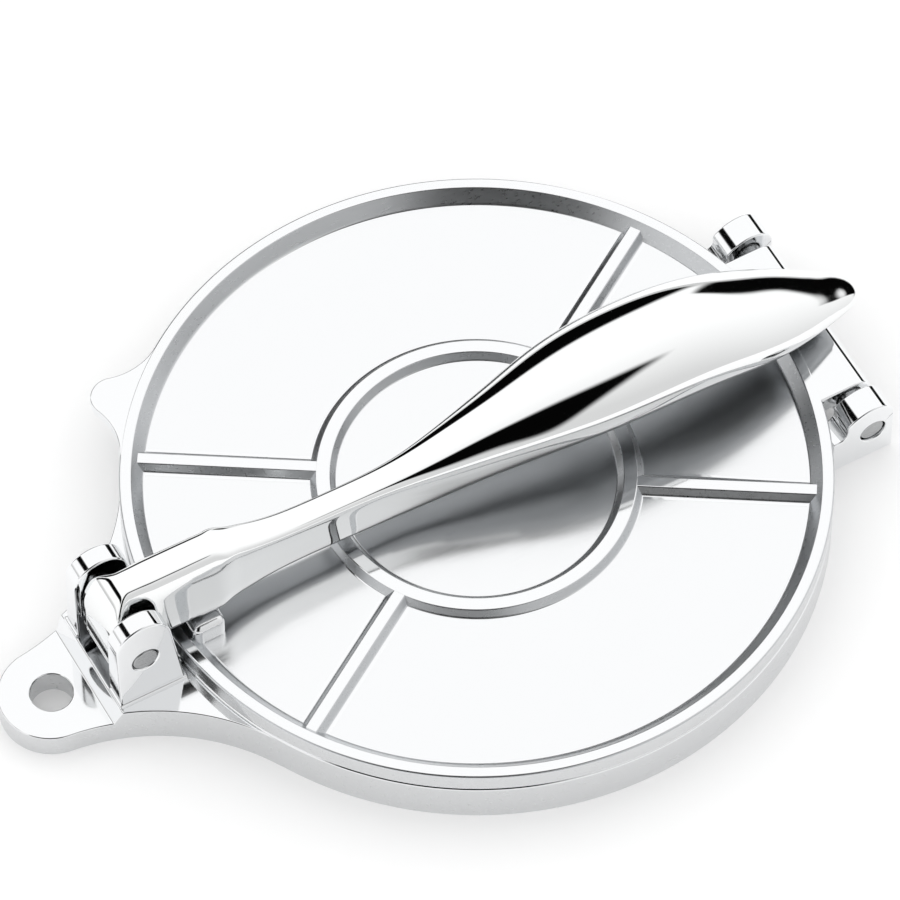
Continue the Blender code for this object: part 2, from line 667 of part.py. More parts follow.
def lever_body():
    """A loft through the stations, from the square root to the oval grip and its thin tip."""
    rows = lever_stations()
    columns = list(zip(*rows))
    mesh = bpy.data.meshes.new('lever')
    work = bmesh.new()
    rings = []
    for place in lever_places(columns[0]):
        values = [between(columns[0], column, place) for column in columns[1:]]
        rings.append([work.verts.new(point) for point in section_ring(place, *values)])
    for ring, following in zip(rings, rings[1:]):
        for side in range(LEVER_RING_POINTS):
            after = (side + 1) % LEVER_RING_POINTS
            work.faces.new((ring[side], ring[after], following[after], following[side]))
    work.faces.new(rings[0])
    work.faces.new(rings[-1])
    bmesh.ops.recalc_face_normals(work, faces=work.faces)
    work.to_mesh(mesh)
    work.free()
    return add_piece('lever body', mesh, Matrix.Translation((0, -LEVER_PIN_REACH, LEVER_PIN_HEIGHT)))


def make_lever(material, axis):
    lever = combine(lever_body(), lever_pin_bore(), 'DIFFERENCE')
    return finish(lever, 'lever', material, axis)


# Build

clear_scene()
model = new_collection('tortilla press')
helpers = new_collection('cutters and joined shapes')
press = new_axis('press', None, (0, PLATE_CENTRE_Y, 0))
hinge_axis = new_axis('hinge axis', press, (0, HINGE_PIN_REACH, HINGE_PIN_HEIGHT))
lever_axis = new_axis('lever axis', press, (0, -LEVER_PIN_REACH, LEVER_PIN_HEIGHT))
cast_aluminium = metal('polished cast aluminium', (0.80, 0.80, 0.81), 0.16)
pin_steel = metal('pin steel', (0.62, 0.62, 0.63), 0.3)
make_base(cast_aluminium)
make_pins(pin_steel)
make_upper_plate(cast_aluminium, hinge_axis)
make_lever(cast_aluminium, lever_axis)
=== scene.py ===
# %% [markdown]
# A hand tortilla press in polished cast aluminium. Two round plates meet face to face: the lower one
# stands on the table, the upper one folds open on a hinge at the rear. A long lever, which turns on a
# pin between two ears at the front, presses them together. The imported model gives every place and
# limit, and this script builds the fine surfaces over it, one cast piece at a time, in metres.

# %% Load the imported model
import math

import bmesh
import bpy
import numpy as np
from mathutils import Matrix, Vector


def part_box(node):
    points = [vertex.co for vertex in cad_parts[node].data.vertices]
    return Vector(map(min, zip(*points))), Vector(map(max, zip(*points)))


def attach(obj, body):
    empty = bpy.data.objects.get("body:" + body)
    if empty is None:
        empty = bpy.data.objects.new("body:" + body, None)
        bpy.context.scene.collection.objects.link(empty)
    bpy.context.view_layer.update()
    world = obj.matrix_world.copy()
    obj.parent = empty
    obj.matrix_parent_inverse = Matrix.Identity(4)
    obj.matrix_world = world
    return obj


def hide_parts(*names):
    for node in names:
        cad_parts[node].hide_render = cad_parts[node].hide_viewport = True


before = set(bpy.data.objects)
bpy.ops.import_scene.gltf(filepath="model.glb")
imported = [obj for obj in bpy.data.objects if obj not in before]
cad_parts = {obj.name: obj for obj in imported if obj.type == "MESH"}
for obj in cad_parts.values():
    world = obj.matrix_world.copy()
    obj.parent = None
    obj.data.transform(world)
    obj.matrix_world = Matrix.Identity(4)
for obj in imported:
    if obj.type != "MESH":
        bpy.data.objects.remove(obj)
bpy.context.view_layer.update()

# %% [markdown]
# The measures of the imported pieces place everything else. The lever's pin and the hinge's pin give the
# two axes, the upper plate gives the radius, and the lower plate gives the common centre of both plates.
# All the shapes below are drawn from that centre, and one matrix then puts them where the imported model
# stands.

# %% Places taken from the imported model
upper_low, upper_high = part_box("upper_plate")
base_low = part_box("base_plate")[0]
pin_low, pin_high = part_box("lever_pin")
hinge_low, hinge_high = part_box("hinge_pin")
PLATE_RADIUS = (upper_high.x - upper_low.x) / 2
TAB_STANDOFF = 0.0283
TAB_RADIUS = 0.0124
CENTRE_Y = base_low.y + PLATE_RADIUS + TAB_STANDOFF + TAB_RADIUS
LEVER_PIN = Vector((0, (pin_low.y + pin_high.y) / 2 - CENTRE_Y, (pin_low.z + pin_high.z) / 2))
HINGE_PIN = Vector((0, (hinge_low.y + hinge_high.y) / 2 - CENTRE_Y, (hinge_low.z + hinge_high.z) / 2))
TO_WORLD = Matrix.Translation((0, CENTRE_Y, 0))
print("plate radius", round(PLATE_RADIUS, 4), "centre", round(CENTRE_Y, 4), "lever pin", LEVER_PIN)

# %% [markdown]
# Sizes of the castings, as measured on the real thing. The heights are above the table.

# %% Sizes of the castings
BASE_TOP = 0.0116
DECK_TOP = 0.011
TAB_TOP = 0.007
DECK_REACH = PLATE_RADIUS + 0.0178
DECK_STEP_RUN = 0.002
TAB_FILLET = 0.052
HANG_HOLE_RADIUS = 0.0049
UPPER_BOTTOM = 0.0119
UPPER_TOP = 0.017
FLOOR_TOP = 0.0137
RIB_TOP = 0.0155
RIM_FLAT = 0.0028
RIM_SLOPE = 0.0027
RING_RADIUS = 0.0355
RING_WIDTH = 0.0032
RIB_SLOPE = 0.0013
SPOKE_WIDTH = 0.0028
SPOKE_ANGLE = math.radians(32.3)
PAD_TOP = 0.020
PAD_SIZE = Vector((0.019, 0.0085, 0.0068))
PAD_SETBACK = 0.004
FINGER_ANGLE = math.radians(42.7)
FINGER_STANDOFF = 0.0041
FINGER_RADIUS = 0.0055
FINGER_FILLET = 0.0155
FINGER_THICKNESS = 0.0032
LEVER_EAR_GAP = 0.0154
LEVER_EAR_THICKNESS = 0.0052
LEVER_EAR_RADIUS = 0.007
LEVER_EAR_TOP = LEVER_PIN.z + 0.0126
HINGE_EAR_GAP = 0.0488
HINGE_EAR_THICKNESS = 0.0069
HINGE_EAR_CROWN = 0.0092
HINGE_EAR_FRONT = 0.007
HINGE_EAR_BACK = 0.0055
KNUCKLE_RADIUS = 0.0047
KNUCKLE_ROUND = 0.0043
KNUCKLE_SIDE_GAP = 0.002
FIT_GAP = 0.0003
SIDE_PLAY = 0.0004
SOFT_EDGE = 0.0006
EAR_EDGE = 0.0007
RIB_EDGE = 0.0005
PAD_EDGE = 0.0021
WELD = 0.001
SLIGHT_DROP = 0.00005
print("pressing face", BASE_TOP, "and rim", UPPER_TOP, "above the table")

# %% [markdown]
# ## Finishes
# The whole press is sand-cast aluminium, ground and then buffed to a mirror by hand. Buffing leaves
# the metal bright but never quite flat: broad, shallow waves make long reflections wander, and hair
# lines run the way the wheel went. So each finish is a pale metal with low roughness, a broad noise
# for the waves and a stretched one for the hair lines. The scales are worked out from millimetres. Where
# the wheel can't reach, on walls and slopes, the ground metal stays satin, and blurs what it shows.
# The greyer tones given to walls, slopes and the lever's underside are painted shade.

# %% Colours and a node helper


def colour(hex_code):
    """An sRGB hex colour as the linear values that Blender's shaders use."""
    values = [int(hex_code[i:i + 2], 16) / 255 for i in (0, 2, 4)]
    linear = [v / 12.92 if v <= 0.04045 else ((v + 0.055) / 1.055) ** 2.4 for v in values]
    return (*linear, 1)


def add_node(tree, kind, links=(), **settings):
    """Adds a node, sets its properties and unlinked sockets, and joins (output, own input) pairs."""
    node = tree.nodes.new(kind)
    for key, value in settings.items():
        if hasattr(node, key):
            setattr(node, key, value)
        else:
            node.inputs[key.replace("_", " ")].default_value = value
    for source, target in links:
        tree.links.new(source, node.inputs[target])
    return node


# %% Buffed cast aluminium
WAVE_LENGTH = 0.014
# Real hair lines are about a tenth of a millimetre apart, and are drawn coarser here so that they show
HAIR_LINE_SPACING = 0.0006
HAIR_LINE_STRETCH = 0.06


def buffed_aluminium(name, tone, roughness, wave_height, streaks):
    """Cast aluminium buffed to a mirror: waves from the hand, hair lines from the wheel."""
    material = bpy.data.materials.new(name)
    material.use_nodes = True
    tree = material.node_tree
    shader = tree.nodes["Principled BSDF"]
    shader.inputs["Base Color"].default_value = colour(tone)
    shader.inputs["Metallic"].default_value = 1
    place = add_node(tree, "ShaderNodeTexCoord")
    waves = add_node(tree, "ShaderNodeTexNoise", [(place.outputs["Object"], "Vector")],
                     Scale=1 / WAVE_LENGTH, Detail=1.0, Roughness=0.3)
    stretch = add_node(tree, "ShaderNodeMapping", [(place.outputs["Object"], "Vector")])
    stretch.inputs["Scale"].default_value = (1, HAIR_LINE_STRETCH, 1)
    hairs = add_node(tree, "ShaderNodeTexNoise", [(stretch.outputs["Vector"], "Vector")],
                     Scale=1 / HAIR_LINE_SPACING, Detail=2.0, Roughness=0.6)
    rough = add_node(tree, "ShaderNodeMapRange", [(hairs.outputs["Fac"], "Value")])
    rough.inputs["To Min"].default_value = roughness * (1 - streaks)
    rough.inputs["To Max"].default_value = roughness * (1 + streaks)
    tree.links.new(rough.outputs["Result"], shader.inputs["Roughness"])
    bump = add_node(tree, "ShaderNodeBump", [(waves.outputs["Fac"], "Height")],
                    Strength=1.0, Distance=wave_height)
    tree.links.new(bump.outputs["Normal"], shader.inputs["Normal"])
    return material


# Faces and rims of the plates, and the ears: a soft mirror
plate_metal = buffed_aluminium("buffed cast aluminium plate", "F2F3F4", 0.07, 0.00006, 0.35)
# The recessed floor and the pad, which the wheel reaches only in part: reflections blur with distance
floor_metal = buffed_aluminium("satin buffed aluminium recess", "F1F2F3", 0.17, 0.00005, 0.30)
# The lever, which is buffed longest: crisp bands of white and black
lever_metal = buffed_aluminium("mirror buffed aluminium lever", "F5F6F6", 0.045, 0.00002, 0.40)
# The open underside, as it left the sand: dull, pale grey and slightly uneven
hidden_metal = buffed_aluminium("as cast aluminium underside", "C9CACB", 0.42, 0.00012, 0.20)
# The ends of the drawn steel pins: greyer than the aluminium round them
pin_metal = buffed_aluminium("drawn steel pin", "AEAFB0", 0.26, 0.00001, 0.30)
# Upright walls, ground but not buffed: an even, pale satin, whose greyer tone is painted shade
satin_wall_metal_with_painted_shade = buffed_aluminium("satin aluminium wall with painted shade", "DBDCDD", 0.25, 0.00004, 0.30)
# Slopes of the rim, ring and spokes: a greyer satin, which draws their outlines; the grey tone is painted
# shade
satin_slope_metal_with_painted_shade = buffed_aluminium("satin aluminium slope with painted shade", "D2D4D6", 0.30, 0.00004, 0.30)
# The lever's underside: a greyer, rougher copy of the lever's metal, whose grey tone is painted shade,
# given because its reflection in the plate is grey
lever_underside_painted_shade = buffed_aluminium("aluminium with painted shade under the lever", "A8AAAC", 0.32, 0.00004, 0.30)
print("finishes", [material.name for material in (plate_metal, floor_metal, lever_metal, hidden_metal,
                                                  pin_metal, satin_wall_metal_with_painted_shade, satin_slope_metal_with_painted_shade, lever_underside_painted_shade)])

# %% [markdown]
# ## Building helpers
# Three ways of making metal shapes cover the press. What was turned or has a round pattern is a profile
# with a Screw modifier. What has a flat outline, such as an ear, is a filled curve with thickness and
# bevelled edges. The lever is a loft. Each is shaded smooth, and weighted normals keep flats flat, which
# matters on a mirror: a small error in a normal shows as a dent.

# %% Outline helpers
FACET = math.radians(3)
EDGE_SEGMENTS = 4


def arc(centre, radius, start, end, facet=FACET):
    """Points on an arc between two angles."""
    steps = max(2, math.ceil(abs(end - start) / facet))
    angles = [start + (end - start) * i / steps for i in range(steps + 1)]
    return [(centre[0] + radius * math.cos(a), centre[1] + radius * math.sin(a)) for a in angles]


def rounded_path(points, radii, facet=math.radians(9)):
    """A profile through the points, with each inner corner replaced by an arc of its radius."""
    path = [points[0]]
    for before, corner, after, radius in zip(points, points[1:], points[2:], radii):
        to_before = (Vector(before) - Vector(corner)).normalized()
        to_after = (Vector(after) - Vector(corner)).normalized()
        half = to_before.angle(to_after) / 2
        if radius == 0 or abs(half - math.pi / 2) < 0.01:
            path.append(corner)
            continue
        centre = Vector(corner) + (to_before + to_after).normalized() * (radius / math.sin(half))
        start = Vector(corner) + to_before * (radius / math.tan(half)) - centre
        end = Vector(corner) + to_after * (radius / math.tan(half)) - centre
        turn = start.angle_signed(end)
        steps = max(2, math.ceil(abs(turn) / facet))
        for i in range(steps + 1):
            spoke = start.copy()
            spoke.rotate(Matrix.Rotation(-turn * i / steps, 2))
            path.append(tuple(centre + spoke))
    path.append(points[-1])
    return path


# %% Solids from outlines


def finish_mesh(piece, body, material, smooth_angle=35):
    """Gives a piece its finish, smooth shading and weighted normals, and lets it ride on its body."""
    piece.data.materials.clear()
    piece.data.materials.append(material)
    piece.data.shade_smooth()
    piece.data.set_sharp_from_angle(angle=math.radians(smooth_angle))
    weighted = piece.modifiers.new("Flat faces stay flat", "WEIGHTED_NORMAL")
    weighted.keep_sharp = True
    weighted.weight = 100
    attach(piece, body)
    return piece


# How far a face's normal rises decides where the greyer materials go, on walls, slopes and the lever's
# underside: painted shade
WALL_RISE = 0.3
SLOPE_RISE = (0.25, 0.93)
UNDER_RISE = (-1, -0.12)


def finish_and_painted_shade_by_rise(piece, material, lowest, highest):
    """Gives another material to the faces whose normals rise between two limits; its greyer tone is
    painted shade.
    """
    piece.data.materials.append(material)
    slot = len(piece.data.materials) - 1
    turn = piece.matrix_world.to_3x3()
    for face in piece.data.polygons:
        if face.material_index == 0 and lowest <= (turn @ face.normal).z <= highest:
            face.material_index = slot


def place_mesh(name, mesh, placing=None):
    piece = bpy.data.objects.new(name, mesh)
    piece.matrix_world = TO_WORLD @ (placing or Matrix.Identity(4))
    bpy.context.scene.collection.objects.link(piece)
    return piece


def settled(piece):
    """Applies the piece's modifiers, so that shading is worked out on the final faces."""
    bpy.context.view_layer.update()
    shape = piece.evaluated_get(bpy.context.evaluated_depsgraph_get())
    mesh = bpy.data.meshes.new_from_object(shape)
    piece.modifiers.clear()
    piece.data = mesh
    return piece


def turned(name, profile, steps=240):
    """A profile in radius and height, turned round the plates' axis."""
    mesh = bpy.data.meshes.new(name)
    mesh.from_pydata([(r, 0, z) for r, z in profile], [(i, i + 1) for i in range(len(profile) - 1)], [])
    piece = place_mesh(name, mesh)
    screw = piece.modifiers.new("Turn", "SCREW")
    screw.steps = steps
    screw.render_steps = steps
    screw.use_merge_vertices = True
    screw.merge_threshold = 0.000001
    return settled(piece)


def extruded(name, outline, depth, placing=None, edge=0.0, segments=EDGE_SEGMENTS):
    """A filled outline with half its depth on each side, and its edges rounded."""
    curve = bpy.data.curves.new(name, "CURVE")
    curve.dimensions = "2D"
    curve.fill_mode = "BOTH"
    curve.extrude = depth / 2
    spline = curve.splines.new("POLY")
    spline.points.add(len(outline) - 1)
    for point, (across, up) in zip(spline.points, outline):
        point.co = (across, up, 0, 1)
    spline.use_cyclic_u = True
    flat = bpy.data.objects.new(name, curve)
    bpy.context.scene.collection.objects.link(flat)
    bpy.context.view_layer.update()
    mesh = bpy.data.meshes.new_from_object(flat.evaluated_get(bpy.context.evaluated_depsgraph_get()))
    bpy.data.objects.remove(flat)
    work = bmesh.new()
    work.from_mesh(mesh)
    bmesh.ops.remove_doubles(work, verts=work.verts, dist=0.000001)
    bmesh.ops.dissolve_limit(work, angle_limit=math.radians(0.3), verts=work.verts, edges=work.edges)
    bmesh.ops.recalc_face_normals(work, faces=work.faces)
    work.to_mesh(mesh)
    work.free()
    piece = place_mesh(name, mesh, placing)
    if edge:
        round_edges(piece, edge, segments)
    return piece


def round_edges(piece, width, segments=EDGE_SEGMENTS):
    bevel = piece.modifiers.new("Rounded edges", "BEVEL")
    bevel.width = width
    bevel.segments = segments
    bevel.limit_method = "ANGLE"
    bevel.angle_limit = math.radians(35)
    bevel.use_clamp_overlap = True
    return piece


def cut(piece, cutter):
    """Takes the cutter's shape out of the piece, and removes the cutter."""
    boolean = piece.modifiers.new("Cut", "BOOLEAN")
    boolean.operation = "DIFFERENCE"
    boolean.object = cutter
    settled(piece)
    bpy.data.objects.remove(cutter)
    return piece


LENGTHWISE = Matrix(((0, 0, 1, 0), (1, 0, 0, 0), (0, 1, 0, 0), (0, 0, 0, 1)))

# %% [markdown]
# ## Lower plate
# The lower casting is a shallow upside-down dish: a flat pressing face, a rim that stands on the table,
# and ribs below that stiffen it. It is one profile, turned. The rim's outer edges are rounded by half a
# millimetre, so that they catch the light as a thin line. Its wall gets the satin finish.
# The wall's greyer tone is painted shade on top of the satin.

# %% Lower plate, turned
BASE_SKIN = 0.0042
BASE_RIM_WALL = 0.0042
BASE_RIB_DEPTH = 0.0042
BASE_RIB_WIDTH = 0.003
BASE_RIM_DRAFT = 0.0006
FACE_MARGIN = 0.0005

skin_bottom = BASE_TOP - BASE_SKIN
rib_bottom = skin_bottom - BASE_RIB_DEPTH
wall = PLATE_RADIUS - BASE_RIM_WALL
base_points = [(0, BASE_TOP), (PLATE_RADIUS, BASE_TOP), (PLATE_RADIUS, 0), (wall, 0),
               (wall - BASE_RIM_DRAFT, skin_bottom), (RING_RADIUS + BASE_RIB_WIDTH / 2, skin_bottom),
               (RING_RADIUS + BASE_RIB_WIDTH / 2, rib_bottom),
               (RING_RADIUS - BASE_RIB_WIDTH / 2, rib_bottom),
               (RING_RADIUS - BASE_RIB_WIDTH / 2, skin_bottom), (0, skin_bottom)]
base_radii = [0.0006, 0.0006, 0.0005, 0.0015, 0.001, 0.0006, 0.0006, 0.001]
base_disc = turned("lower_plate_casting", rounded_path(base_points, base_radii))
finish_mesh(base_disc, "base", plate_metal)
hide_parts("base_plate")
base_disc.data.materials.append(hidden_metal)
for face in base_disc.data.polygons:
    reach = math.hypot(face.center.x, face.center.y)
    if face.center.z < BASE_TOP - WELD and reach < wall + FACE_MARGIN:
        face.material_index = 1
# The wall gets the satin metal, whose greyer tone is painted shade
finish_and_painted_shade_by_rise(base_disc, satin_wall_metal_with_painted_shade, -WALL_RISE, WALL_RISE)
print("lower plate faces", len(base_disc.data.polygons))

# %% Ribs under the lower plate


def along_radius(angle, middle):
    """A frame whose outline stands upright and whose depth runs along a radius at an angle from +Y."""
    along = Vector((math.sin(angle), math.cos(angle), 0))
    across = Vector((-math.cos(angle), math.sin(angle), 0))
    placing = Matrix((across, (0, 0, 1), along)).transposed().to_4x4()
    placing.translation = along * middle
    return placing


SPOKE_ANGLES = (SPOKE_ANGLE, -SPOKE_ANGLE, math.pi - SPOKE_ANGLE, math.pi + SPOKE_ANGLE)
half_rib = BASE_RIB_WIDTH / 2
rib_outline = [(-half_rib, rib_bottom), (half_rib, rib_bottom),
               (half_rib, skin_bottom + WELD), (-half_rib, skin_bottom + WELD)]
outer = PLATE_RADIUS - BASE_RIM_WALL / 2
for number, angle in enumerate(SPOKE_ANGLES):
    rib = extruded(f"underside_rib_{number}", rib_outline, outer - RING_RADIUS,
                   along_radius(angle, (outer + RING_RADIUS) / 2), edge=RIB_EDGE)
    finish_mesh(settled(rib), "base", hidden_metal)
print("underside ribs", len(SPOKE_ANGLES))

# %% [markdown]
# ## Front deck and hanging tab
# In front the lower casting runs out into a deck, which carries the ears, and steps down to a thin tab
# with a hole to hang it by. From above it is one outline: a round end that flares into the plate
# through one large fillet on each side. The fillet touches both circles from outside, so its centre is
# at the sum of the radii from both centres, which gives its place without trial.

# %% Deck and tab


def necked_outline(disc, root, reach, tab, fillet):
    """A round-ended tab on a disc's -Y side, flared into the disc, and closed inside it at root."""
    to_disc = disc + fillet
    to_tab = tab + fillet
    y = (to_tab ** 2 - to_disc ** 2 - reach ** 2) / (2 * reach)
    x = math.sqrt(to_disc ** 2 - y ** 2)
    disc_side = math.atan2(y, x)
    tab_side = math.atan2(y + reach, x)
    right = arc((x, y), fillet, disc_side + math.pi, tab_side + math.pi, math.radians(1.5))
    right += arc((0, -reach), tab, tab_side, -math.pi / 2)[1:]
    left = [(-a, b) for a, b in reversed(right[:-1])]
    return right + left + arc((0, 0), root, -math.pi - disc_side, disc_side)


TAB_REACH = PLATE_RADIUS + TAB_STANDOFF
deck_outline = necked_outline(PLATE_RADIUS, PLATE_RADIUS - BASE_RIM_WALL / 2, TAB_REACH, TAB_RADIUS,
                              TAB_FILLET)
deck = extruded("front_deck_and_tab", deck_outline, DECK_TOP, Matrix.Translation((0, 0, DECK_TOP / 2)))
front = -TAB_REACH - 2 * TAB_RADIUS
slope = DECK_STEP_RUN / (DECK_TOP - TAB_TOP)
step_outline = [(front, TAB_TOP), (-DECK_REACH - DECK_STEP_RUN, TAB_TOP),
                (-DECK_REACH + WELD * slope, DECK_TOP + WELD), (front, DECK_TOP + WELD)]
cut(deck, extruded("step_cutter", step_outline, 4 * TAB_RADIUS, LENGTHWISE))
cut(deck, extruded("hole_cutter", arc((0, 0), HANG_HOLE_RADIUS, 0, 2 * math.pi)[:-1], 4 * TAB_TOP,
                   Matrix.Translation((0, -TAB_REACH, 0))))
round_edges(deck, SOFT_EDGE)
finish_mesh(settled(deck), "base", plate_metal)
# The deck's walls get the satin metal, whose greyer tone is painted shade
finish_and_painted_shade_by_rise(deck, satin_wall_metal_with_painted_shade, -WALL_RISE, WALL_RISE)
print("deck and tab faces", len(deck.data.polygons))

# %% [markdown]
# ## Ears
# Two ears at the front hold the lever's pin, and two at the rear hold the hinge pin. They are cast on,
# ground flat on their faces and rounded over the top. Each is an outline seen from the side, given its
# thickness, with the edges broken by the buffing wheel. The front ears widen downwards, as a casting
# must to leave the sand, and stand on a low ledge that shows as a bright line along their foot.

# %% Front ears


def lever_ear_outline(sink):
    """A front ear from the side: upright in front, round on top and leaning out behind."""
    crown = (LEVER_PIN.y, LEVER_EAR_TOP - LEVER_EAR_RADIUS)
    lean = math.radians(7)
    outline = [(crown[0] - LEVER_EAR_RADIUS, sink)]
    outline += arc(crown, LEVER_EAR_RADIUS, math.pi, lean)
    rear_y, rear_z = outline[-1]
    return outline + [(rear_y + (rear_z - sink) * math.tan(lean), sink)]


def bore(name, radius, place, length):
    """A round cutter along X."""
    placing = Matrix.Translation(place) @ Matrix.Rotation(math.pi / 2, 4, "Y")
    return extruded(name, arc((0, 0), radius, 0, 2 * math.pi)[:-1], length, placing)


EAR_DRAFT = math.radians(2)
LEVER_BORE = 0.0032
HINGE_BORE = 0.0033
LEVER_CUT = 0.08
HINGE_CUT = 0.09
for side, name in ((-1, "left"), (1, "right")):
    middle = side * (LEVER_EAR_GAP + LEVER_EAR_THICKNESS) / 2
    placing = Matrix.Translation((middle, 0, 0)) @ LENGTHWISE
    ear = extruded(f"front_ear_{name}", lever_ear_outline(DECK_TOP - WELD), LEVER_EAR_THICKNESS, placing)
    for vertex in ear.data.vertices:
        if vertex.co.z * side > 0:
            vertex.co.z += side * (LEVER_PIN.z - vertex.co.y) * math.tan(EAR_DRAFT)
    cut(ear, bore("pin_cutter", LEVER_BORE, LEVER_PIN, LEVER_CUT))
    round_edges(ear, EAR_EDGE)
    finish_mesh(settled(ear), "base", plate_metal)

# %% Feet of the front ears
EAR_FOOT_EDGE = 0.0006
EAR_FOOT_HEIGHT = 0.0007
foot_ends = [point[0] for point in lever_ear_outline(DECK_TOP)]
foot_low, foot_high = min(foot_ends) - EAR_FOOT_EDGE, max(foot_ends) + EAR_FOOT_EDGE
foot_outline = [(foot_low, DECK_TOP - WELD), (foot_high, DECK_TOP - WELD),
                (foot_high, DECK_TOP + EAR_FOOT_HEIGHT), (foot_low, DECK_TOP + EAR_FOOT_HEIGHT)]
for side, name in ((-1, "left"), (1, "right")):
    draft = (LEVER_PIN.z - DECK_TOP) * math.tan(EAR_DRAFT)
    thickness = LEVER_EAR_THICKNESS + draft + EAR_FOOT_EDGE
    middle = side * (LEVER_EAR_GAP + thickness) / 2
    foot = extruded(f"front_ear_foot_{name}", foot_outline, thickness,
                    Matrix.Translation((middle, 0, 0)) @ LENGTHWISE, edge=RIB_EDGE)
    finish_mesh(settled(foot), "base", plate_metal)
print("front ears stand from", round(foot_low, 4), "to", round(foot_high, 4), "before the plates' centre")

# %% Rear ears


def hinge_ear_outline():
    """A rear ear from the side: a fillet on the deck, a round crown and a straight back."""
    front = HINGE_PIN.y - HINGE_EAR_FRONT
    root = math.sqrt(PLATE_RADIUS ** 2 - (HINGE_EAR_GAP / 2 + HINGE_EAR_THICKNESS) ** 2) + WELD
    fillet = 0.0025
    shoulder = math.pi - math.acos(HINGE_EAR_FRONT / HINGE_EAR_CROWN)
    pin = (HINGE_PIN.y, HINGE_PIN.z)
    outline = [(root, 0), (root, DECK_TOP)]
    outline += arc((front - fillet, DECK_TOP + fillet), fillet, -math.pi / 2, 0)
    outline += arc(pin, HINGE_EAR_CROWN, shoulder, math.pi / 2)
    outline += arc((pin[0], pin[1] + HINGE_EAR_CROWN - HINGE_EAR_BACK), HINGE_EAR_BACK, math.pi / 2, 0)[1:]
    return outline + [(pin[0] + HINGE_EAR_BACK, 0)]


for side, name in ((-1, "left"), (1, "right")):
    middle = side * (HINGE_EAR_GAP + HINGE_EAR_THICKNESS) / 2
    placing = Matrix.Translation((middle, 0, 0)) @ LENGTHWISE
    ear = extruded(f"rear_ear_{name}", hinge_ear_outline(), HINGE_EAR_THICKNESS, placing)
    cut(ear, bore("pin_cutter", HINGE_BORE, HINGE_PIN, HINGE_CUT))
    round_edges(ear, EAR_EDGE)
    finish_mesh(settled(ear), "base", plate_metal)
print("rear ears", round(HINGE_EAR_GAP * 1000, 1), "mm apart")

# %% [markdown]
# ## Pins
# Both pins are plain rods with their ends dressed flat. Each is a cylinder with a small round at the
# ends, in steel, a little darker than the castings.

# %% Pins
PIN_EDGE = 0.0003


def pin_rod(name, node, radius, place, length):
    """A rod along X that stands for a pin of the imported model."""
    rod = bore(name, radius, place, length)
    round_edges(rod, PIN_EDGE)
    finish_mesh(settled(rod), "base", pin_metal)
    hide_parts(node)


pin_rod("pin_of_the_lever", "lever_pin", (pin_high.z - pin_low.z) / 2, LEVER_PIN, pin_high.x - pin_low.x)
pin_rod("pin_of_the_hinge", "hinge_pin", (hinge_high.z - hinge_low.z) / 2, HINGE_PIN,
        hinge_high.x - hinge_low.x)
print("pins", round(pin_high.x - pin_low.x, 4), "and", round(hinge_high.x - hinge_low.x, 4), "long")

# %% [markdown]
# ## Upper plate
# The upper casting is thin, so it is stiffened on top: a rim round the edge, a ring in the middle and
# four spokes between them, all standing over a recessed floor. The rim, ring and floor are one turned
# profile with soft inner corners, as sand casting needs them. The finish goes by how a face leans: the
# flat tops are mirrors, the floor is blurred, and the slopes and the outer wall are satin. Each spoke is
# an outline across its width, a hair lower than the ring, so that no two flat tops lie in one plane.
# The greyer tone of the slopes and the outer wall is painted shade.

# %% Upper plate, turned
rim_inner = PLATE_RADIUS - RIM_FLAT
ring_out = RING_RADIUS + RING_WIDTH / 2
ring_in = RING_RADIUS - RING_WIDTH / 2
upper_points = [(0, FLOOR_TOP), (ring_in - RIB_SLOPE, FLOOR_TOP), (ring_in, RIB_TOP), (ring_out, RIB_TOP),
                (ring_out + RIB_SLOPE, FLOOR_TOP), (rim_inner - RIM_SLOPE, FLOOR_TOP),
                (rim_inner, UPPER_TOP), (PLATE_RADIUS, UPPER_TOP), (PLATE_RADIUS, UPPER_BOTTOM),
                (0, UPPER_BOTTOM)]
upper_radii = [0.0008, 0.0005, 0.0005, 0.0008, 0.0012, 0.0005, 0.0006, 0.0006]
upper_disc = turned("upper_plate_casting", rounded_path(upper_points, upper_radii))
finish_mesh(upper_disc, "plate", plate_metal)
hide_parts("upper_plate")
upper_disc.data.materials.append(floor_metal)
FLAT_RISE = 0.99
for face in upper_disc.data.polygons:
    if abs(face.center.z - FLOOR_TOP) < SLIGHT_DROP and face.normal.z > FLAT_RISE:
        face.material_index = 1
# The slopes get a greyer satin, whose tone is painted shade
finish_and_painted_shade_by_rise(upper_disc, satin_slope_metal_with_painted_shade, *SLOPE_RISE)
# The outer wall gets the satin metal, whose greyer tone is painted shade
finish_and_painted_shade_by_rise(upper_disc, satin_wall_metal_with_painted_shade, -WALL_RISE, SLOPE_RISE[0])
print("upper plate faces", len(upper_disc.data.polygons))

# %% Spokes
SPOKE_RUN_OUT = 0.001
FLUSH = 0.00001


def spoke_outline():
    """Flat top, sloped sides, and feet that run out flush on the floor."""
    foot = FLOOR_TOP - WELD
    half_top = SPOKE_WIDTH / 2
    half_foot = half_top + RIB_SLOPE
    outside = half_foot + SPOKE_RUN_OUT
    top = RIB_TOP - SLIGHT_DROP
    floor = FLOOR_TOP + FLUSH
    points = [(-outside, foot), (-outside, floor), (-half_foot, floor), (-half_top, top),
              (half_top, top), (half_foot, floor), (outside, floor), (outside, foot)]
    return rounded_path(points, [0, 0.0008, 0.0005, 0.0005, 0.0008, 0])


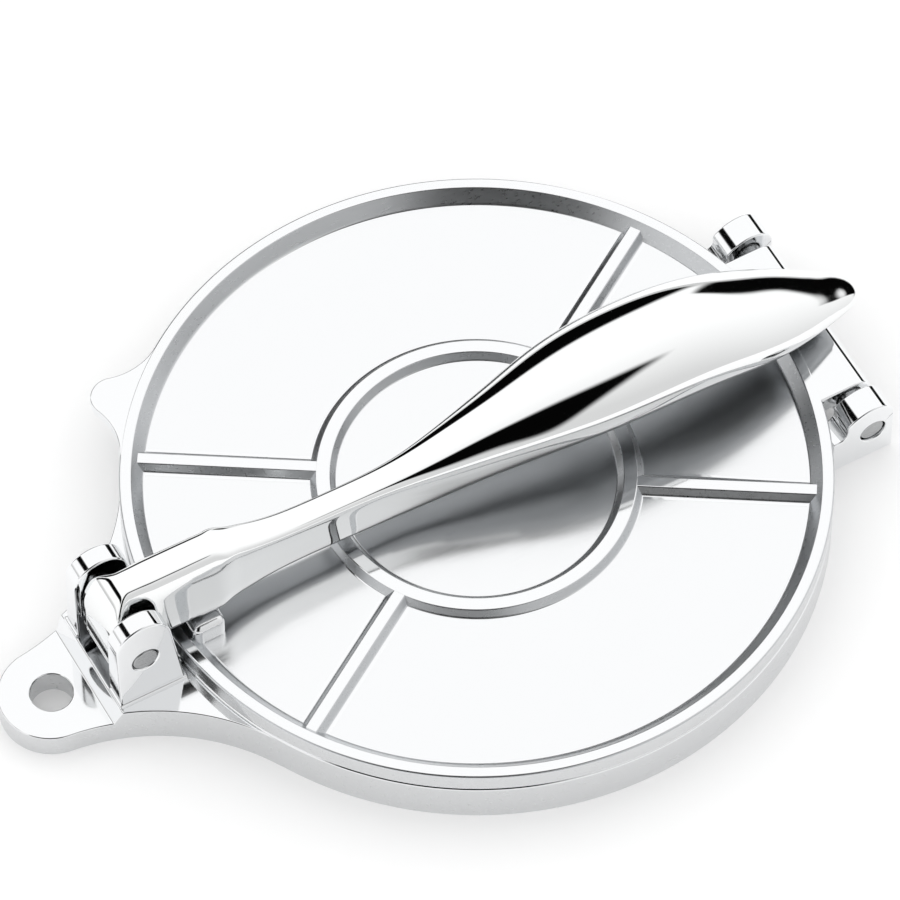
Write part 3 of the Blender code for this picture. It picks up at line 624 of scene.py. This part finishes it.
outer = PLATE_RADIUS - RIM_FLAT / 2
for number, angle in enumerate(SPOKE_ANGLES):
    bar = extruded(f"spoke_{number}", spoke_outline(), outer - RING_RADIUS,
                   along_radius(angle, (outer + RING_RADIUS) / 2))
    finish_mesh(bar, "plate", plate_metal)
    # The spoke's slopes get a greyer satin, whose tone is painted shade
    finish_and_painted_shade_by_rise(bar, satin_slope_metal_with_painted_shade, *SLOPE_RISE)
print("spokes", len(SPOKE_ANGLES), "from the ring to", round(outer, 4))

# %% [markdown]
# ## Pad, finger tab and knuckle
# The upper casting carries three more forms: the pad that the lever's foot presses, a small tab to lift
# the plate by, and the knuckle that turns on the hinge pin between the rear ears. The pad is a block with
# well rounded edges. The tab is the same flared outline as the hanging tab, only smaller and turned to
# its place. The knuckle is drawn from the side, and its front is cut back to the curve of the rim.

# %% Pressing pad and finger tab
pad_front = -(PLATE_RADIUS - PAD_SETBACK)
half_pad = PAD_SIZE.x / 2
pad_outline = [(-half_pad, pad_front), (half_pad, pad_front), (half_pad, pad_front + PAD_SIZE.y),
               (-half_pad, pad_front + PAD_SIZE.y)]
pad = extruded("pressing_pad", pad_outline, PAD_TOP - FLOOR_TOP + WELD,
               Matrix.Translation((0, 0, (PAD_TOP + FLOOR_TOP - WELD) / 2)), edge=PAD_EDGE)
finish_mesh(settled(pad), "plate", floor_metal)

finger_outline = necked_outline(PLATE_RADIUS, PLATE_RADIUS - RIM_FLAT / 2, PLATE_RADIUS + FINGER_STANDOFF,
                                FINGER_RADIUS, FINGER_FILLET)
finger_placing = Matrix.Rotation(-FINGER_ANGLE, 4, "Z")
finger_placing.translation = (0, 0, UPPER_TOP - SLIGHT_DROP - FINGER_THICKNESS / 2)
finger = extruded("finger_tab", finger_outline, FINGER_THICKNESS, finger_placing, edge=SOFT_EDGE)
finish_mesh(settled(finger), "plate", plate_metal)
print("pad top", PAD_TOP, "finger tab reach", round(PLATE_RADIUS + FINGER_STANDOFF + FINGER_RADIUS, 4))

# %% Knuckle
KNUCKLE_HALF = HINGE_EAR_GAP / 2 - KNUCKLE_SIDE_GAP
RIM_CUT = 0.05
knuckle_root = math.sqrt(PLATE_RADIUS ** 2 - KNUCKLE_HALF ** 2) - WELD
knuckle_top = UPPER_TOP - SLIGHT_DROP
knuckle_corner = (HINGE_PIN.y + KNUCKLE_RADIUS - KNUCKLE_ROUND, knuckle_top - KNUCKLE_ROUND)
knuckle_outline = [(knuckle_root, knuckle_top)] + arc(knuckle_corner, KNUCKLE_ROUND, math.pi / 2, 0)
knuckle_outline += arc((HINGE_PIN.y, HINGE_PIN.z), KNUCKLE_RADIUS, 0, -math.pi)
knuckle_outline += [(HINGE_PIN.y - KNUCKLE_RADIUS, UPPER_BOTTOM), (knuckle_root, UPPER_BOTTOM)]
knuckle = extruded("hinge_knuckle", knuckle_outline, 2 * KNUCKLE_HALF, LENGTHWISE)
rim_circle = arc((0, 0), PLATE_RADIUS - RIM_FLAT / 2, 0, 2 * math.pi)[:-1]
cut(knuckle, extruded("rim_cutter", rim_circle, RIM_CUT))
cut(knuckle, bore("pin_cutter", HINGE_BORE, HINGE_PIN, HINGE_CUT))
round_edges(knuckle, SOFT_EDGE)
finish_mesh(settled(knuckle), "plate", plate_metal)
print("knuckle faces", len(knuckle.data.polygons))

# %% [markdown]
# ## Lever
# The lever is the piece that the hand knows best, and the hardest to draw. It starts as a round-fronted
# barrel between the ears, narrows to a slim neck with a flat top, then swells into a full oval grip and
# ends in a thin, rounded tip. Every section is unlike the last, so it is lofted: stations along its
# length say how high, wide and square each section is. Values between the stations are smoothed along
# the length, because a mirror shows every sudden change of curve as a broken highlight.

# %% Stations of the lever
LEVER_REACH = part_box("lever")[1].y - CENTRE_Y - LEVER_PIN.y
LEVER_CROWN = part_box("lever")[1].z - LEVER_PIN.z
GRIP_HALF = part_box("lever")[1].x
ROOT_FRONT = 0.0057
CROWN_SETBACK = 0.0015
CROWN_FOOT = 0.0005
STRIP_HALF = 0.004
FRONT_ROWS = 24
ROOT_DEPTH = 0.0099
ROOT_TOP = LEVER_PIN.z - DECK_TOP - FIT_GAP
ROOT_HALF = LEVER_EAR_GAP / 2 - SIDE_PLAY
ROOT_SQUARE = 0.9
ROOT_EDGE = 0.0006
FOOT = PAD_TOP + FIT_GAP - LEVER_PIN.z
FOOT_RELIEF = 0.0006
ARM_TOP_SHARE = 0.92


def barrel_row(share):
    """A row of the round front: the top follows a quarter ellipse and the bottom an arc."""
    angle = math.pi / 2 * share
    place = CROWN_SETBACK - (ROOT_FRONT + CROWN_SETBACK) * math.cos(angle)
    top = CROWN_FOOT + (ROOT_TOP - CROWN_FOOT) * math.sin(angle)
    half = ROOT_HALF - ROOT_EDGE * max(0, 1 - 6 * share) ** 2
    narrowed = max(0, 2 * share - 1)
    strip = half + (STRIP_HALF - half) * narrowed ** 2 * (3 - 2 * narrowed)
    return place, top, -math.sqrt(ROOT_DEPTH ** 2 - place ** 2), half, strip, ROOT_SQUARE


# Place behind the pin, top and bottom above it, half width, half width of the top, squareness
root_rows = [barrel_row(i / FRONT_ROWS) for i in range(FRONT_ROWS + 1)] + [
    (0.0040, ROOT_TOP, -0.0091, ROOT_HALF, STRIP_HALF, ROOT_SQUARE),
    (0.0078, ROOT_TOP, FOOT + FOOT_RELIEF, ROOT_HALF, STRIP_HALF, ROOT_SQUARE),
    (0.0166, ROOT_TOP, FOOT + FOOT_RELIEF, ROOT_HALF, STRIP_HALF, ROOT_SQUARE),
    (0.0174, ROOT_TOP, FOOT, ROOT_HALF, STRIP_HALF, ROOT_SQUARE),
    (0.0227, ROOT_TOP - 0.0001, FOOT, ROOT_HALF, STRIP_HALF, ROOT_SQUARE),
]
# The same for the arm, as shares of the reach, the crown and the grip's half width
ARM_SHARES = (
    (0.137, 0.71, -0.28, 0.40, 0.90), (0.17, 0.54, -0.30, 0.27, 0.90), (0.22, 0.43, -0.30, 0.25, 0.90),
    (0.28, 0.41, -0.32, 0.25, 0.90), (0.34, 0.40, -0.34, 0.27, 0.85), (0.38, 0.42, -0.33, 0.32, 0.70),
    (0.42, 0.51, -0.26, 0.44, 0.45), (0.47, 0.64, -0.16, 0.57, 0.30), (0.52, 0.76, -0.09, 0.71, 0.22),
    (0.57, 0.90, 0.00, 0.87, 0.18), (0.62, 0.97, 0.04, 0.97, 0.16), (0.67, 1.00, 0.05, 1.00, 0.16),
    (0.72, 0.99, 0.04, 1.00, 0.16), (0.77, 0.91, -0.01, 0.98, 0.16), (0.82, 0.73, -0.11, 0.95, 0.14),
    (0.87, 0.50, -0.22, 0.86, 0.10), (0.90, 0.37, -0.25, 0.75, 0.06), (0.93, 0.22, -0.28, 0.64, 0.04),
    (0.96, 0.04, -0.33, 0.49, 0.02), (0.98, -0.07, -0.33, 0.36, 0.00), (0.993, -0.16, -0.29, 0.21, 0.00),
    (1.00, -0.23, -0.25, 0.05, 0.00),
)
scales = np.array([LEVER_REACH, LEVER_CROWN, LEVER_CROWN, GRIP_HALF, 1])
arm = np.array(ARM_SHARES) * scales
arm_rows = np.column_stack([arm[:, :4], arm[:, 3] * ARM_TOP_SHARE, arm[:, 4]])
stations = np.vstack([np.array(root_rows), arm_rows])
print("lever stations", len(stations), "reach", round(LEVER_REACH, 4))

# %% Values between the stations
ROW_SPACING = 0.0009
LAST_ROW_STEP = 0.0003
# How far each column is blurred along the arm: top, bottom, half width, half width of the top, squareness
SMOOTHING = (0.0048, 0.0048, 0.0065, 0.0065, 0.010)
SMOOTH_FROM = 0.022
SMOOTH_RUN_IN = 0.008
SMOOTH_RUN_OUT = 0.012


def steady_slopes(places, values):
    """Slopes of a smooth line that never swings past a station."""
    runs = np.diff(places)
    steps = np.diff(values) / runs
    product = steps[:-1] * steps[1:]
    total = steps[:-1] + steps[1:]
    inner = np.where(product > 0, 2 * product / np.where(total == 0, 1, total), 0)
    return np.concatenate([[steps[0]], inner, [steps[-1]]])


def between(places, values, at):
    """Values at any places, on the smooth line through the stations."""
    slopes = steady_slopes(places, values)
    index = np.clip(np.searchsorted(places, at) - 1, 0, len(places) - 2)
    run = places[index + 1] - places[index]
    t = (at - places[index]) / run
    start = values[index] * (1 + 2 * t) * (1 - t) ** 2 + slopes[index] * run * t * (1 - t) ** 2
    return start + values[index + 1] * t * t * (3 - 2 * t) - slopes[index + 1] * run * t * t * (1 - t)


def smoothed(values, places, spread):
    """Blurs the values along the arm, fading to none over the root and at the tip."""
    reach = int(3 * spread / ROW_SPACING)
    kernel = np.exp(-0.5 * (np.arange(-reach, reach + 1) * ROW_SPACING / spread) ** 2)
    kernel /= kernel.sum()
    padded = np.pad(values, reach, mode="edge")
    soft = np.convolve(padded, kernel, mode="valid")
    share = np.clip((places - SMOOTH_FROM) / SMOOTH_RUN_IN, 0, 1)
    share *= np.clip((LEVER_REACH - places) / SMOOTH_RUN_OUT, 0, 1)
    return values + (soft - values) * share


front_places = [row[0] for row in root_rows[:FRONT_ROWS + 1]]
along = np.arange(CROWN_SETBACK + ROW_SPACING, LEVER_REACH - 0.0005, ROW_SPACING)
along = np.concatenate([front_places, along, [LEVER_REACH - LAST_ROW_STEP, LEVER_REACH]])
fine = [smoothed(between(stations[:, 0], stations[:, column], along), along, SMOOTHING[column - 1])
        for column in range(1, 6)]
print("lever rows", len(along))

# %% Loft the lever
RING_POINTS = 72
CORNER_TIGHTNESS = 0.8
ROOT_CUT = 0.05
LEVER_SHARP_ANGLE = 50


def section_ring(place, top, bottom, half, top_half, square):
    """A closed ring: an ellipse where square is 0, a box with tight corners where it nears 1."""
    power = 1 - CORNER_TIGHTNESS * square
    ring = []
    for i in range(RING_POINTS):
        angle = 2 * math.pi * (i + 0.5) / RING_POINTS
        across = math.copysign(abs(math.cos(angle)) ** power, math.cos(angle))
        rise = (1 + math.copysign(abs(math.sin(angle)) ** power, math.sin(angle))) / 2
        width = half + (top_half - half) * rise ** 2
        ring.append((width * across, place, bottom + (top - bottom) * rise))
    return ring


lever_mesh = bpy.data.meshes.new("pressing_lever")
work = bmesh.new()
rings = [[work.verts.new(point) for point in section_ring(*values)] for values in zip(along, *fine)]
for ring, following in zip(rings, rings[1:]):
    for i in range(RING_POINTS):
        j = (i + 1) % RING_POINTS
        work.faces.new((ring[i], ring[j], following[j], following[i]))
work.faces.new(rings[0])
work.faces.new(rings[-1])
bmesh.ops.recalc_face_normals(work, faces=work.faces)
work.to_mesh(lever_mesh)
work.free()
lever = place_mesh("pressing_lever", lever_mesh, Matrix.Translation(LEVER_PIN))
cut(lever, bore("pin_cutter", LEVER_BORE, LEVER_PIN, ROOT_CUT))
finish_mesh(lever, "arm", lever_metal, LEVER_SHARP_ANGLE)
# Faces that lean downwards get painted shade: a greyer tone on the same polished metal
finish_and_painted_shade_by_rise(lever, lever_underside_painted_shade, *UNDER_RISE)
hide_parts("lever")
print("lever faces", len(lever.data.polygons))

# %% [markdown]
# ## Studio
# Polished metal has no look of its own: it shows the studio. The mirror bands on the lever in the
# photograph tell what stood there. Overhead was one large white light, duller on the right and low down.
# A black strip ran along its far edge and its ends, and black cloth hung round the camera. Those four
# black panels draw every dark line on the castings. They could be planes in the scene, but planes would
# also shade the table, so each is drawn in the world as the directions on the inner side of a few
# straight edges. The strips have nearly crisp borders, and the cloth, which hung close, has soft ones.

# %% Black panels in the world
scene = bpy.context.scene
world = bpy.data.worlds.new("white studio with black panels")
scene.world = world
world.use_nodes = True
sky = world.node_tree
direction = add_node(sky, "ShaderNodeTexCoord").outputs["Generated"]
PANEL_SOFTNESS = 0.05
CLOTH_SOFTNESS = 0.14
# For each panel: the softness of its borders, and its edges. An edge is a direction, and how far along
# that direction the panel begins.
BLACK_PANELS = {
    "far strip": (PANEL_SOFTNESS, [((-1, 0, 0), 0.80), ((0, 0, 1), 0.08), ((0, 1, 0), -0.40)]),
    "strip at the grip's end": (PANEL_SOFTNESS, [((0, 1, 0), 0.64), ((0, 0, 1), 0.04),
                                                 ((0, 0, -1), -0.32), ((-1, 0, 0), 0.05)]),
    "strip at the tab's end": (PANEL_SOFTNESS, [((0, -1, 0), 0.52), ((0, 1, 0), -0.72),
                                                ((-1, 0, 0), 0.05)]),
    "cloth round the camera": (CLOTH_SOFTNESS, [((-0.7, -1, 0), -0.43), ((1, 0, 0), 0.06),
                                                ((1, 0.8, 0), -0.32), ((0, 0, 1), 0.24)]),
}


def panel(softness, edges):
    """How far a direction lies inside all of a panel's edges, from 0 to 1."""
    inside = None
    for edge, reach in edges:
        along_edge = add_node(sky, "ShaderNodeVectorMath", [(direction, 0)], operation="DOT_PRODUCT")
        along_edge.inputs[1].default_value = edge
        share = add_node(sky, "ShaderNodeMapRange", [(along_edge.outputs["Value"], "Value")],
                         interpolation_type="SMOOTHSTEP", From_Min=reach - softness / 2,
                         From_Max=reach + softness / 2).outputs["Result"]
        if inside:
            share = add_node(sky, "ShaderNodeMath", [(inside, 0), (share, 1)],
                             operation="MULTIPLY").outputs[0]
        inside = share
    return inside


black = None
for softness, edges in BLACK_PANELS.values():
    share = panel(softness, edges)
    if black:
        share = add_node(sky, "ShaderNodeMath", [(black, 0), (share, 1)], operation="MAXIMUM").outputs[0]
    black = share
print("black panels", list(BLACK_PANELS))

# %% White light of the studio
OVERHEAD_LIGHT = 1.1
RIGHT_LIGHT = 0.74
LOW_LIGHT = 0.60
BLACK_TONE = 0.0015
# The matt table is lit by one plain level from all sides, so the panels don't shade it
TABLE_LIGHT = 1.05
split = add_node(sky, "ShaderNodeSeparateXYZ", [(direction, "Vector")])
fading = add_node(sky, "ShaderNodeMapRange", [(split.outputs["X"], "Value")],
                  From_Min=-0.30, From_Max=0.85, To_Min=OVERHEAD_LIGHT, To_Max=RIGHT_LIGHT)
low = add_node(sky, "ShaderNodeMapRange", [(split.outputs["Z"], "Value")],
               From_Min=0.06, From_Max=0.16, To_Min=LOW_LIGHT, To_Max=1.0)
right = add_node(sky, "ShaderNodeMapRange", [(split.outputs["X"], "Value")],
                 From_Min=-0.10, From_Max=0.10)
beyond = add_node(sky, "ShaderNodeMath", [(low.outputs["Result"], 0), (right.outputs["Result"], 1)],
                  operation="MAXIMUM")
white = add_node(sky, "ShaderNodeMath", [(fading.outputs["Result"], 0), (beyond.outputs[0], 1)],
                 operation="MULTIPLY")
shaded = add_node(sky, "ShaderNodeMix", [(black, "Factor"), (white.outputs[0], 2)])
shaded.inputs[3].default_value = BLACK_TONE
rays = add_node(sky, "ShaderNodeLightPath")
strength = add_node(sky, "ShaderNodeMix",
                    [(rays.outputs["Is Diffuse Ray"], "Factor"), (shaded.outputs[0], 2)])
strength.inputs[3].default_value = TABLE_LIGHT
background = sky.nodes["Background"]
background.inputs["Color"].default_value = colour("FFFFFF")
sky.links.new(strength.outputs[0], background.inputs["Strength"])
print("light overhead", OVERHEAD_LIGHT, "right", RIGHT_LIGHT, "low", LOW_LIGHT)

# %% [markdown]
# ## Table
# The press stands on white studio card. A wide matt plane does for it, with no gloss of its own, so that
# only a faint shadow tells where the press touches. A little light of its own, which only the camera
# and the metal's reflections see, brings the card to white without any more light on the scene.

# %% Table
TABLE_SIZE = 6.0
TABLE_GLOW = 0.12
bpy.ops.mesh.primitive_plane_add(size=TABLE_SIZE, location=(0, 0, 0))
table = bpy.context.object
table.name = "white_table"
table_white = bpy.data.materials.new("white studio table")
table_white.use_nodes = True
tree = table_white.node_tree
matt = tree.nodes["Principled BSDF"]
matt.inputs["Base Color"].default_value = colour("F9F9F9")
matt.inputs["Roughness"].default_value = 0.9
matt.inputs["Specular IOR Level"].default_value = 0
ray = add_node(tree, "ShaderNodeLightPath")
seen = add_node(tree, "ShaderNodeMath",
                [(ray.outputs["Is Camera Ray"], 0), (ray.outputs["Is Glossy Ray"], 1)],
                operation="MAXIMUM")
seen = add_node(tree, "ShaderNodeMath", [(seen.outputs[0], 0), (ray.outputs["Is Transmission Ray"], 1)],
                operation="MAXIMUM")
glow = add_node(tree, "ShaderNodeMath", [(seen.outputs[0], 0)], operation="MULTIPLY")
glow.inputs[1].default_value = TABLE_GLOW
tree.links.new(glow.outputs[0], matt.inputs["Emission Strength"])
matt.inputs["Emission Color"].default_value = colour("FFFFFF")
table.data.materials.append(table_white)
print("table", TABLE_SIZE, "m wide")

# %% [markdown]
# ## Camera
# The photograph was taken from far off with a long lens, from the right of the tab and well above. The
# place of the camera is written as a direction and a distance from one point on the press, because
# those are the numbers that a photographer would give.

# %% Camera
TARGET = Vector((-0.00775, -0.00273 + CENTRE_Y, 0.017))
CAMERA_AZIMUTH = math.radians(60.88)
CAMERA_ELEVATION = math.radians(56.71)
CAMERA_DISTANCE = 1.7
FOCAL_PIXELS = 7367
IMAGE_PIXELS = 900
to_camera = Vector((math.sin(CAMERA_AZIMUTH) * math.cos(CAMERA_ELEVATION),
                    -math.cos(CAMERA_AZIMUTH) * math.cos(CAMERA_ELEVATION), math.sin(CAMERA_ELEVATION)))
camera_data = bpy.data.cameras.new("studio camera")
camera_data.sensor_width = 36
camera_data.lens = FOCAL_PIXELS / IMAGE_PIXELS * camera_data.sensor_width
camera_data.clip_end = 10
camera = bpy.data.objects.new("studio camera", camera_data)
camera.location = TARGET + to_camera * CAMERA_DISTANCE
camera.rotation_euler = (-to_camera).to_track_quat("-Z", "Y").to_euler()
scene.collection.objects.link(camera)
scene.camera = camera
scene.view_settings.view_transform = "Standard"
print("camera", round(CAMERA_DISTANCE, 2), "m away, lens", round(camera_data.lens), "mm")
